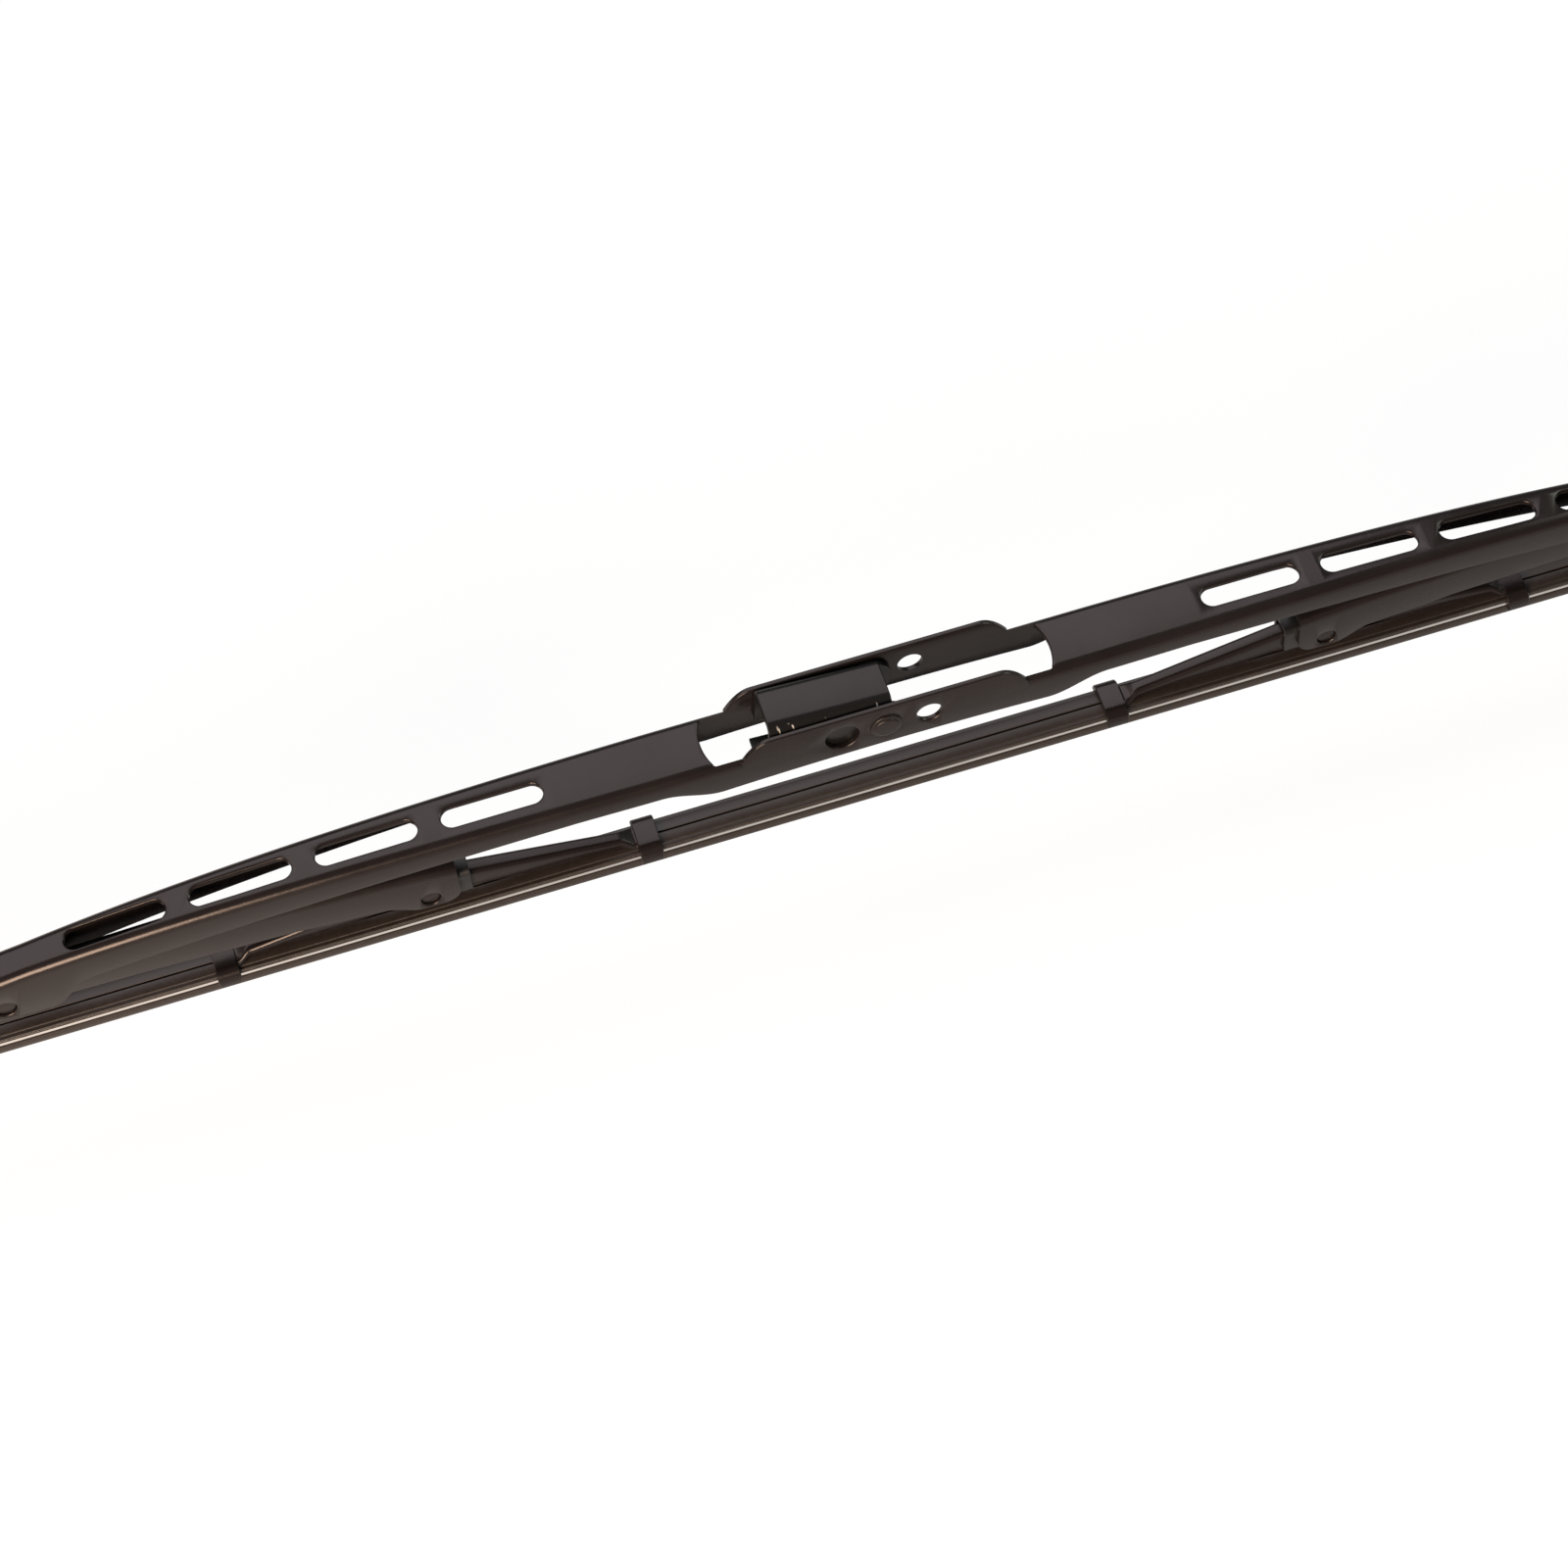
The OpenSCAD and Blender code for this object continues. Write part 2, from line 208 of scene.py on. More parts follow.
# %% Scuffs on the saddle
def add_scuffs(tree, place, paint):
    slanted = add_node(tree, "ShaderNodeMapping",
                       {"Vector": place, "Rotation": (0.0, math.radians(55), 0.0),
                        "Scale": (1.0, 0.35, 0.22)})
    peaks = rescale(tree, noise(tree, slanted.outputs["Vector"], 0.9, 1.0), 0.66, 0.72)
    axes = add_node(tree, "ShaderNodeSeparateXYZ", {"Vector": place})
    near = rescale(tree, axes.outputs["Y"], -4.0 * MM, -4.6 * MM)
    level = rescale(tree, axes.outputs["Z"], 2.8 * MM, 3.6 * MM)
    band = calculate(tree, "MULTIPLY", near, level)
    return mix_colours(tree, calculate(tree, "MULTIPLY", peaks, band), paint, "#b4afa9")


ENAMEL = stoved_enamel("stoved_black_enamel", "#110d0d", "#191515", 0.24)
# Painted shade: the saddle's enamel is darker and more neutral than the bridge's, so that its
# roof and its wall seen through the large pin hole come out dark, as if in shade. Its pale nicks
# are real wear.
SCUFFED_WITH_PAINTED_SHADE = stoved_enamel("scuffed_enamel_with_painted_shade", "#0c0c0c", "#131313", 0.27, scuffed=True)
PIN_PAINT = stoved_enamel("dull_pin_enamel", "#120f0f", "#1a1616", 0.34)
print("enamel:", len(ENAMEL.node_tree.nodes), "nodes, scuffed:", len(SCUFFED_WITH_PAINTED_SHADE.node_tree.nodes))


# %% [markdown]
# ## Steel, rubber and plastic
# The two splines are bare spring steel strip, rolled along its length, so the
# lines that roughen it are stretched fifty times along X; they are 0.4 mm apart
# here, coarser than the real ones, so that they show. The strip is extruded black
# rubber: matt, with a faint brown bloom. The liners are injection moulded
# acetal with a fine grain, a little glossier than the rubber.


# %% Rolled steel, extruded rubber and moulded acetal
def rolled_steel(name, tone, roughness):
    material, tree, shader, place = new_material(name)
    set_shader(shader, metallic=1.0, base_color=colour(tone))
    along = add_node(tree, "ShaderNodeMapping", {"Vector": place, "Scale": (1 / 50, 1.0, 1.0)})
    lines = noise(tree, along.outputs["Vector"], 0.4, 3.0)
    gloss = rescale(tree, lines, 0.0, 1.0, roughness - 0.08, roughness + 0.08)
    tree.links.new(gloss, shader.inputs["Roughness"])
    return material


def dull_black(name, base, worn, roughness, grain, specular):
    material, tree, shader, place = new_material(name)
    set_shader(shader, ior=PLAIN_IOR, specular_ior_level=specular)
    mottle = noise(tree, place, grain, 5.0)
    tree.links.new(mix_colours(tree, mottle, base, worn), shader.inputs["Base Color"])
    gloss = rescale(tree, mottle, 0.0, 1.0, roughness - 0.07, roughness + 0.07)
    tree.links.new(gloss, shader.inputs["Roughness"])
    add_bump(tree, shader, mottle, 0.12)
    return material


STEEL = rolled_steel("rolled_spring_steel", "#f4efea", 0.26)
RUBBER = dull_black("extruded_rubber", "#1f1a18", "#2e2724", 0.40, 1.1, 0.42)
ACETAL = dull_black("moulded_acetal", "#131314", "#1b1b1c", 0.34, 0.7, 0.4)
print("finishes:", [m.name for m in (ENAMEL, SCUFFED_WITH_PAINTED_SHADE, PIN_PAINT, STEEL, RUBBER, ACETAL)])

# %% [markdown]
# ## Pressed channels
# Every pressed part is a channel: a flat web with two walls bent down. On the
# real press the sheet keeps its thickness round the bends, so the section here
# is drawn the same way, an outer path and an inner path one sheet apart, and it
# is swept along the part while its width, top and lower edge follow a rule. The
# cut edges get a hair of rounding, because that is what catches the light.

# %% Section and sweep
BEND_STEPS = 8
EDGE = 0.2  # rounding of a cut edge, mm
SMOOTH_ANGLE = 38.0  # an edge sharper than this keeps its crease, degrees


def corner(cx, cz, radius, start, stop, count):
    """Points of an arc from start to stop, in degrees."""
    return [(cx + radius * math.cos(math.radians(start + (stop - start) * i / count)),
             cz + radius * math.sin(math.radians(start + (stop - start) * i / count)))
            for i in range(count + 1)]


def channel_section(half_width, top, low, sheet, bend):
    """Closed loop of (y, z), symmetric about y = 0."""
    w, inner = half_width, bend - sheet
    right = corner(w - bend, top - bend, bend, 90, 0, BEND_STEPS)
    right += corner(w - EDGE, low + EDGE, EDGE, 0, -90, 3)
    right += corner(w - sheet + EDGE, low + EDGE, EDGE, -90, -180, 3)
    right += corner(w - bend, top - bend, inner, 0, 90, BEND_STEPS)
    left = [(-y, z) for y, z in reversed(right)]
    return right + left


def sweep(sections):
    """A closed bmesh from (x, loop) pairs, all loops with as many points."""
    bm = bmesh.new()
    rings = [[bm.verts.new((x * MM, y * MM, z * MM)) for y, z in loop] for x, loop in sections]
    count = len(rings[0])
    for a, b in zip(rings, rings[1:]):
        for i in range(count):
            j = (i + 1) % count
            bm.faces.new((a[i], a[j], b[j], b[i]))
    for ring in (rings[0], rings[-1]):
        bm.faces.new(ring)
    bmesh.ops.recalc_face_normals(bm, faces=bm.faces)
    return bm


def eased_ends(start, end, section, size=EDGE):
    """(x, loop) pairs of a straight piece whose two ends are chamfered by size."""
    return [(start, section(size)), (start + size, section(0.0)),
            (end - size, section(0.0)), (end, section(size))]


def link_mesh(bm, name):
    mesh = bpy.data.meshes.new(name)
    bm.to_mesh(mesh)
    bm.free()
    obj = bpy.data.objects.new(name, mesh)
    bpy.context.collection.objects.link(obj)
    return obj


def refinish(obj, material):
    obj.data.materials.clear()
    obj.data.materials.append(material)
    obj.data.shade_smooth()
    obj.data.set_sharp_from_angle(angle=math.radians(SMOOTH_ANGLE))
    return obj


def finish_mesh(bm, name, material):
    return refinish(link_mesh(bm, name), material)


print("points in a channel section:", len(channel_section(6.25, 1.3, -6.0, 1.0, 1.9)))

# %% [markdown]
# Holes, slots and the window are punched out with boolean modifiers, whose
# result is turned into a plain mesh. A punch rolls the edge of the sheet a little,
# and that rim is what shines on the real part. So each cutter is a stack of rings
# whose outline opens like a trumpet where it leaves the surface.


# %% Cutters
ROLL = 0.32  # radius of the rolled rim of a punched hole, mm
FLARE, FLARE_SLOPE = 0.6, math.tan(math.radians(20))  # how a cutter opens past the rim


def roll_steps(surface, direction):
    """(growth, level) of a cutter's rings where it leaves the surface."""
    rings = [(0.0, surface - direction * ROLL)]
    for angle in (25, 50, 70):
        turn = math.radians(angle)
        rings.append((ROLL * (1 - math.cos(turn)),
                      surface - direction * ROLL * (1 - math.sin(turn))))
    growth, level = rings[-1]
    return rings + [(growth + FLARE, level + direction * FLARE * FLARE_SLOPE)]


def stack(rings):
    """A closed cutter through rings of (x, y, z) in millimetres."""
    bm = bmesh.new()
    loops = [[bm.verts.new(Vector(point) * MM) for point in ring] for ring in rings]
    count = len(loops[0])
    for a, b in zip(loops, loops[1:]):
        for i in range(count):
            j = (i + 1) % count
            bm.faces.new((a[i], a[j], b[j], b[i]))
    for ring in (loops[0], loops[-1]):
        bm.faces.new(ring)
    bmesh.ops.recalc_face_normals(bm, faces=bm.faces)
    return link_mesh(bm, "cutter")


def round_outline(x, z, radius, count=48):
    return corner(x, z, radius, 0, 360 - 360 / count, count - 1)


def cross_hole(x, z, radius, half_width):
    """A bore across the blade, its rims rolled where it meets both walls."""
    near, far = roll_steps(-half_width, -1), roll_steps(half_width, 1)
    return stack([[(a, y, b) for a, b in round_outline(x, z, radius + growth)]
                  for growth, y in list(reversed(near)) + far])


def block(outline, low, high):
    """A straight prism across the blade over an outline of (x, z)."""
    return stack([[(a, y, b) for a, b in outline] for y in (low, high)])


def combine(obj, others, operation):
    for other in others:
        modifier = obj.modifiers.new("combine", "BOOLEAN")
        modifier.operation = operation
        modifier.solver = "EXACT"
        modifier.object = other
    bpy.context.view_layer.update()
    result = bpy.data.meshes.new_from_object(
        obj.evaluated_get(bpy.context.evaluated_depsgraph_get()))
    for other in others:
        bpy.data.objects.remove(other)
    obj.modifiers.clear()
    old = obj.data
    obj.data = result
    bpy.data.meshes.remove(old)
    return obj


print("rolled rim rings:", [(round(g, 3), round(z, 3)) for g, z in roll_steps(0.0, 1)])

# %% [markdown]
# ## Rules that the pressed parts follow
# The sizes are those of the CAD model, apart from the levers' lower edge and the
# strip's back, which follow the photograph more closely. Each pressed or turned
# piece is checked against its CAD node's box. `ease` is the S-curve that a press
# tool leaves where a wall deepens, and the bow of the bridge is a flat middle
# that falls away towards the ends.

# %% Main sizes
STRIP_TOP = -23.3
BRIDGE_TOP = STRIP_TOP + 24.6
BRIDGE_HALF = 6.25
BRIDGE_END_HALF = 3.75
SHEET = 1.0
LEVER_SHEET = 0.9
LEVER_X = 164.0
LEVER_ARM = 77.7
LEVER_PIVOT = STRIP_TOP + 10.3
YOKE_PIVOT = STRIP_TOP + 5.7
SHORT_ARM, LONG_ARM = 38.8, 41.1


def clamp(t):
    return min(1.0, max(0.0, t))


def ease(t):
    u = clamp(t)
    return u * u * (3 - 2 * u)


def steps(a, b, n):
    return [a + (b - a) * i / n for i in range(1, n + 1)]


def both_ways(half):
    return [-x for x in reversed(half[1:])] + half


def check_box(obj, node, allowed=0.0007):
    """Prints how far the piece's box lies from its CAD node's box."""
    low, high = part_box(node)
    pts = [v.co for v in obj.data.vertices]
    off = max(max(abs(min(p[i] for p in pts) - low[i]), abs(max(p[i] for p in pts) - high[i]))
              for i in range(3))
    print(f"{obj.name}: {len(pts)} points, box off by {off * 1000:.2f} mm",
          "" if off <= allowed else "LOOK")


print("levers turn at", LEVER_X, "mm, yokes at", LEVER_X - LEVER_ARM, "and", LEVER_X + LEVER_ARM)

# %% [markdown]
# ## Main bridge
# One pressing about 335 mm long. It is widest in the middle and tapers to the
# ends. The walls are deeper in the middle, where the rivet and the pin holes
# are, and deeper again round the lever pivots. The web is open between two
# raised ears, and four slots a side lighten it.


# %% Rules of the main bridge
BRIDGE_BEND = 1.9
CHEEK_RADIUS = 3.5
ARM_X0, ARM_X1 = 31.0, 42.0
CHEEK_X0, CHEEK_X1 = 148.5, 156.0


def bridge_top(x):
    u = x / 100
    return BRIDGE_TOP + 0.84 * u * u - 1.145 * u ** 4


def bridge_half(x):
    u = clamp((abs(x) - 40) / 118)
    return BRIDGE_HALF - (BRIDGE_HALF - BRIDGE_END_HALF) * u ** 1.5


def bridge_low(x):
    arm = bridge_top(x) - 4.5 - 0.036 * max(0.0, abs(x) - 58)
    if abs(x) < ARM_X1:
        middle = STRIP_TOP + 17.9 - 0.8 * min(1.0, abs(x) / ARM_X0) ** 2
        return middle + (arm - middle) * ease((abs(x) - ARM_X0) / (ARM_X1 - ARM_X0))
    past = max(0.0, abs(x) - LEVER_X)
    cheek = LEVER_PIVOT - math.sqrt(max(0.0, CHEEK_RADIUS ** 2 - past ** 2))
    return arm + (cheek - arm) * ease((abs(x) - CHEEK_X0) / (CHEEK_X1 - CHEEK_X0))


bridge_xs = both_ways([0.0] + steps(0, ARM_X0, 6) + steps(ARM_X0, ARM_X1, 12)
                      + steps(ARM_X1, CHEEK_X0, 40) + steps(CHEEK_X0, CHEEK_X1, 14)
                      + steps(CHEEK_X1, LEVER_X, 4)
                      + [LEVER_X + CHEEK_RADIUS * math.sin(math.radians(a))
                         for a in range(10, 91, 10)])
print("bridge stations:", len(bridge_xs), "end at", round(bridge_xs[-1], 2))

# %% [markdown]
# The ears are flat continuations of the walls above the web. Their crest is
# level, and a rounded shoulder runs from it down to the web at each end.

# %% Ears, window and slots
EAR_LEVEL, EAR_FOOT = 21.5, 26.9
EAR_CREST = STRIP_TOP + 28.8
WINDOW_X, WINDOW_BULGE, WINDOW_CORNER = 31.6, 1.3, 0.6
SLOTS_A_SIDE, SLOT_LENGTH, SLOT_WIDTH = 4, 18.8, 4.3
SLOT_FIRST, SLOT_PITCH = 71.6, 23.15


def ear_top(x):
    drop = clamp((abs(x) - EAR_LEVEL) / (EAR_FOOT - EAR_LEVEL)) ** 2
    return EAR_CREST - (EAR_CREST - BRIDGE_TOP + 0.45) * drop


def ear(side):
    xs = both_ways([0.0] + steps(0, EAR_LEVEL, 4) + steps(EAR_LEVEL, EAR_FOOT, 20))
    outer, inner = BRIDGE_HALF, BRIDGE_HALF - SHEET
    rounded = corner(outer - EDGE, 0, EDGE, 0, 90, 3) + corner(inner + EDGE, 0, EDGE, 90, 180, 3)
    loops = []
    for x in xs:
        top = ear_top(x) - EDGE
        loop = [(outer, BRIDGE_TOP - 3)] + [(y, top + z) for y, z in rounded]
        loop.append((inner, BRIDGE_TOP - 3))
        loops.append((x, [(side * y, z) for y, z in loop]))
    return finish_mesh(sweep(loops), "ear", ENAMEL)


def window_outline(growth):
    """Bulged ends, rounded corners, and sides flush with the walls inside."""
    half = BRIDGE_HALF - SHEET
    radius = (half ** 2 + WINDOW_BULGE ** 2) / (2 * WINDOW_BULGE)
    spread = math.degrees(math.asin((half - WINDOW_CORNER) / radius))
    end = WINDOW_X + WINDOW_BULGE - radius
    right = corner(end, 0, radius + growth, -spread, spread, 24)
    far = corner(right[-1][0] - WINDOW_CORNER, half - WINDOW_CORNER, WINDOW_CORNER + growth,
                 30, 90, 4)
    right = [(x, -y) for x, y in reversed(far)] + right + far
    right = [(x, max(-half, min(half, y))) for x, y in right]
    return right + [(-x, -y) for x, y in right]


def slot_outline(x, growth):
    half, r = SLOT_LENGTH / 2 - SLOT_WIDTH / 2, SLOT_WIDTH / 2 + growth
    return corner(x + half, 0, r, -90, 90, 20) + corner(x - half, 0, r, 90, 270, 20)


def web_cutter(outline):
    """Cuts down through the web; its rim follows the web's bow."""
    rings = [(0.0, -2.6)] + roll_steps(0.0, 1)
    return stack([[(x, y, bridge_top(x) + level) for x, y in outline(growth)]
                  for growth, level in rings])


print("ear crest at", round(ear_top(0), 2), "mm, window", len(window_outline(0.0)), "points")

# %% [markdown]
# The channel and the ears are joined, and everything that the press punches out
# is cut from them in one go: the window, eight slots and five bores.


# %% Build the main bridge
MIDDLE_BORES = [(-8.2, 3.175), (8.2, 2.38), (0, 2.45)]  # large and small pin hole, rivet
LEVER_PIN_BORE = 2.05


def build_bridge():
    body = finish_mesh(sweep([(x, channel_section(bridge_half(x), bridge_top(x), bridge_low(x),
                                                  SHEET, BRIDGE_BEND)) for x in bridge_xs]),
                       "bridge", ENAMEL)
    combine(body, [ear(-1), ear(1)], "UNION")
    cutters = [web_cutter(window_outline)]
    for side in (-1, 1):
        for i in range(SLOTS_A_SIDE):
            x = side * (SLOT_FIRST + i * SLOT_PITCH)
            cutters.append(web_cutter(lambda growth, x=x: slot_outline(x, growth)))
    cutters += [cross_hole(x, 0, radius, BRIDGE_HALF) for x, radius in MIDDLE_BORES]
    cutters += [cross_hole(side * LEVER_X, LEVER_PIVOT, LEVER_PIN_BORE, bridge_half(LEVER_X))
                for side in (-1, 1)]
    combine(body, cutters, "DIFFERENCE")
    return refinish(body, ENAMEL)


bridge = build_bridge()
check_box(bridge, "main_bridge")
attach(bridge, "bridge")
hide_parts("main_bridge")

# %% [markdown]
# ## Levers
# A lever is a narrower channel that passes between the bridge's cheeks and
# widens towards its ends, where it takes the yokes. It is bowed, its lower edge
# runs level along the middle, and its walls are deepest round the two yoke pins.
# Both levers are the same pressing.

# %% Rules of a lever
LEVER_HALF_LENGTH = LEVER_ARM + 5.6
LEVER_MID_HALF, LEVER_END_HALF = 2.2, 3.7
LEVER_BEND, LEVER_END_RADIUS = 1.5, 3
LEVER_BORE, YOKE_PIN_BORE = 2.06, 1.8


def lever_top(s):
    return STRIP_TOP + 16.0 - 2.7 * (abs(s) / 80) ** 4


def lever_half(s):
    return LEVER_MID_HALF + (LEVER_END_HALF - LEVER_MID_HALF) * clamp((abs(s) - 8) / 50)


def lever_low(s):
    a, past = abs(s), max(0.0, abs(s) - LEVER_HALF_LENGTH + LEVER_END_RADIUS)
    return (STRIP_TOP + 7.2 + 0.4 * ease((a - 8) / 20)
            - 1.5 * clamp((a - 53) / 16) - 2.9 * ease((a - 69) / 7)
            + LEVER_END_RADIUS - math.sqrt(max(0.0, LEVER_END_RADIUS ** 2 - past * past)))


lever_stations = both_ways([0.0] + steps(0, 8, 3) + steps(8, 14, 8) + steps(14, 53, 18)
                           + steps(53, 69, 6) + steps(69, 76, 10)
                           + steps(76, LEVER_HALF_LENGTH - LEVER_END_RADIUS, 2)
                           + [LEVER_HALF_LENGTH - LEVER_END_RADIUS
                              + LEVER_END_RADIUS * math.sin(math.radians(a))
                              for a in range(10, 91, 10)])


def build_lever(name, side):
    centre = side * LEVER_X
    obj = finish_mesh(sweep([(centre + s, channel_section(lever_half(s), lever_top(s),
                                                          lever_low(s), LEVER_SHEET,
                                                          LEVER_BEND))
                             for s in lever_stations]), name, ENAMEL)
    holes = [cross_hole(centre, LEVER_PIVOT, LEVER_BORE, lever_half(0))]
    holes += [cross_hole(centre + end * LEVER_ARM, YOKE_PIVOT, YOKE_PIN_BORE, LEVER_END_HALF)
              for end in (-1, 1)]
    combine(obj, holes, "DIFFERENCE")
    return refinish(obj, ENAMEL)


for side_name, side in (("left", -1), ("right", 1)):
    lever = build_lever(side_name + "_lever_skin", side)
    check_box(lever, side_name + "_lever")
    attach(lever, side_name + "_lever")
    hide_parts(side_name + "_lever")

# %% [markdown]
# ## Yokes and their claws
# A yoke is the smallest channel. Its arms taper and sink towards the strip and
# flare into the claws: a wide crown over the strip, with both sides bent down
# and turned in under the splines.

# %% Rules of a yoke
YOKE_HALF, YOKE_BORE = 1.8, 1.81
YOKE_BEND = LEVER_SHEET + 0.06
CLAW_HALF = 4.45
CLAW_TOP = STRIP_TOP + 1.2
CLAW_LIP, LIP_REACH, CLAW_BEND, LIP_BEND = STRIP_TOP - 1.6, 2.25, 2.3, 0.3
CROWN_HALF, HOOK_HALF, CROWN_DEPTH = 2.15, 1.85, 2.2
ROOT_HALF, ROOT_TOP = 2.45, CLAW_TOP - 0.1  # the arm where it runs into its claw


def yoke_top(s, arm):
    u = abs(s) / arm
    line = STRIP_TOP + 9.05 - 7.48 * math.sqrt(u * u + 0.0053)
    return line + (ROOT_TOP - line) * ease((u - 0.88) / 0.07)


def yoke_low(s, arm):
    u = abs(s) / arm
    return STRIP_TOP + 3.2 - 1.3 * ease((u - 0.15) / 0.3) - 1.82 * ease((u - 0.64) / 0.27)


def yoke_half(s, arm):
    u = abs(s) / arm
    slim = YOKE_HALF - 0.35 * clamp(u / 0.85)
    return slim + (ROOT_HALF - slim) * ease((u - 0.87) / 0.08)


def yoke_arm(arm):
    return (steps(0, 0.64 * arm, 20) + steps(0.64 * arm, 0.85 * arm, 8)
            + steps(0.85 * arm, 0.96 * arm, 12))


# %% [markdown]
# The claw is one section extruded along the blade. Its crown is a little longer
# than its hooks, so the lower part is cut back on both sides.


# %% Claws
def claw_section(trim):
    """Closed loop of (y, z); trim takes that much off the outside."""
    t, r, lip = LEVER_SHEET, CLAW_BEND, CLAW_LIP
    side = corner(CLAW_HALF - r, CLAW_TOP - r, r - trim, 90, 0, 10)
    side += corner(CLAW_HALF - LIP_BEND, lip - t + LIP_BEND, LIP_BEND - trim, 0, -90, 3)
    side += [(LIP_REACH, lip - t + trim), (LIP_REACH, lip), (CLAW_HALF - t, lip)]
    side += corner(CLAW_HALF - r, CLAW_TOP - r, r - t, 0, 90, 8)
    return side + [(-y, z) for y, z in reversed(side)]


def claw(x):
    obj = finish_mesh(sweep(eased_ends(x - CROWN_HALF, x + CROWN_HALF, claw_section)),
                      "claw", ENAMEL)
    cut = CLAW_TOP - CROWN_DEPTH
    cutters = []
    for end in (-1, 1):
        near, far = x + end * HOOK_HALF, x + end * (HOOK_HALF + 5)
        cutters.append(block([(near, cut - 9), (far, cut - 9), (far, cut), (near, cut)], -9, 9))
    return combine(obj, cutters, "DIFFERENCE")


def build_yoke(name, pivot, outward):
    """Made over the origin, then moved; outward is the side, -1 or 1, of the long arm."""
    stations = [(-s, SHORT_ARM) for s in reversed(yoke_arm(SHORT_ARM))]
    stations += [(0.0, LONG_ARM)] + [(s, LONG_ARM) for s in yoke_arm(LONG_ARM)]
    sections = [(s, channel_section(yoke_half(s, arm), yoke_top(s, arm), yoke_low(s, arm),
                                    LEVER_SHEET, YOKE_BEND)) for s, arm in stations]
    obj = finish_mesh(sweep(sections), name, ENAMEL)
    combine(obj, [claw(-SHORT_ARM), claw(LONG_ARM)], "UNION")
    combine(obj, [cross_hole(0.0, YOKE_PIVOT, YOKE_BORE, YOKE_HALF)], "DIFFERENCE")
    obj.data.transform(Matrix.Diagonal((outward, 1, 1, 1)))
    if outward < 0:
        obj.data.flip_normals()
    obj.data.transform(Matrix.Translation((pivot * MM, 0, 0)))
    return refinish(obj, ENAMEL)


yokes = {}
for side_name, side in (("left", -1), ("right", 1)):
    for place_name, place in (("inner", -1), ("outer", 1)):
        node = f"{side_name}_{place_name}_yoke"
        pivot = side * (LEVER_X + place * LEVER_ARM)
        yoke = build_yoke(node + "_skin", pivot, side * place)
        check_box(yoke, node)
        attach(yoke, node)
        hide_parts(node)
        yokes[node] = (pivot, side * place)

# %% [markdown]
# ## Adapter
# The saddle is a short channel between the bridge's walls, turning on the centre
# rivet, with a round lobe on each wall about the rivet. The arm's hook scrapes
# over its near bend, so the enamel there is scuffed.


# %% Adapter saddle
SADDLE_START, SADDLE_END = -21.5, 1.5
SADDLE_TILT, SADDLE_BORE = 3.5, 2.46


def build_saddle():
    top, low, half, bend = BRIDGE_TOP + 4.3, -4.4, BRIDGE_HALF - SHEET - 0.15, 2.2
    obj = finish_mesh(sweep(eased_ends(SADDLE_START, SADDLE_END, lambda trim: channel_section(
        half - trim, top - trim, low + trim, SHEET - trim, bend - trim))), "saddle", SCUFFED_WITH_PAINTED_SHADE)
    lobes = [block(round_outline(0, 0, -low), min(side * half, side * (half - SHEET)),
                   max(side * half, side * (half - SHEET))) for side in (-1, 1)]
    combine(obj, lobes, "UNION")
    combine(obj, [cross_hole(0, 0, SADDLE_BORE, half)], "DIFFERENCE")
    obj.data.transform(Matrix.Rotation(math.radians(SADDLE_TILT), 4, "Y"))
    return refinish(obj, SCUFFED_WITH_PAINTED_SHADE)


saddle = build_saddle()
check_box(saddle, "adapter_saddle")
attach(saddle, "adapter")
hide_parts("adapter_saddle")

# %% [markdown]
# ## Rubber strip and splines
# The strip is extruded rubber with two flat springs in its side grooves. On the
# car it bends with the claws, so here it is made in stretches: those between
# the claws of one yoke ride on that yoke, and those between stay where they are,
# attached to no body. Each stretch is the same section swept along a straight curve,
# which is what Geometry Nodes' Curve to Mesh is for.

# %% Strip section
NECK_HALF = 0.95
SPLINE_TOP, SPLINE_OUT = STRIP_TOP - 0.8, 3.45
HALF_STRIP = [
    # slit and back
    (0.2, -1.0), (0.2, -0.05), (0.26, 0.0), (2.2, 0.0), (2.3, -0.05), (2.42, -0.16),
    (2.9, -0.18), (3.05, -0.2), (3.16, -0.28), (3.2, -0.4), (3.2, -0.75),
    # groove of the spline
    (NECK_HALF, -0.75), (NECK_HALF, -1.6), (1.8, -1.6), (1.8, -1.95), (1.1, -2.3),
    # flange
    (1.1, -2.9), (2.45, -3.08), (2.75, -3.2), (2.9, -3.5), (2.9, -4.7), (2.75, -5.1),
    (2.45, -5.3), (1.0, -5.4),
    # neck and wiping lip
    (0.6, -5.6), (0.45, -6.0), (0.45, -7.6), (0.6, -7.9), (0.9, -8.2), (0.35, -9.0),
]
SPLINE_SECTION = [(SPLINE_OUT - 0.12, 0.0), (SPLINE_OUT - 0.03, -0.04), (SPLINE_OUT, -0.13),
                  (SPLINE_OUT, -0.62), (SPLINE_OUT - 0.03, -0.71), (SPLINE_OUT - 0.12, -0.75),
                  (NECK_HALF + 0.05, -0.75), (NECK_HALF + 0.05, 0.0)]


def strip_loop():
    right = [(y, STRIP_TOP + z) for y, z in HALF_STRIP]
    return right + [(-y, z) for y, z in reversed(right)]


def spline_loop(side):
    return [(side * y, SPLINE_TOP + z) for y, z in SPLINE_SECTION]


print("strip section:", len(strip_loop()), "points, spline:", len(SPLINE_SECTION))


# %% [markdown]
# The tree below draws a straight line between two places, resamples it, and
# sweeps the section along it. Its ends are closed, so every stretch is a solid.


# %% Stretch builder
def open_tree(name, **inputs):
    """A new tree that is given geometry, the named inputs and a finish."""
    tree = bpy.data.node_groups.new(name, "GeometryNodeTree")
    for label, kind in {"Geometry": "Geometry", **inputs, "Finish": "Material"}.items():
        tree.interface.new_socket(label, in_out="INPUT", socket_type="NodeSocket" + kind)
    tree.interface.new_socket("Geometry", in_out="OUTPUT", socket_type="NodeSocketGeometry")
    return tree, add_node(tree, "NodeGroupInput").outputs


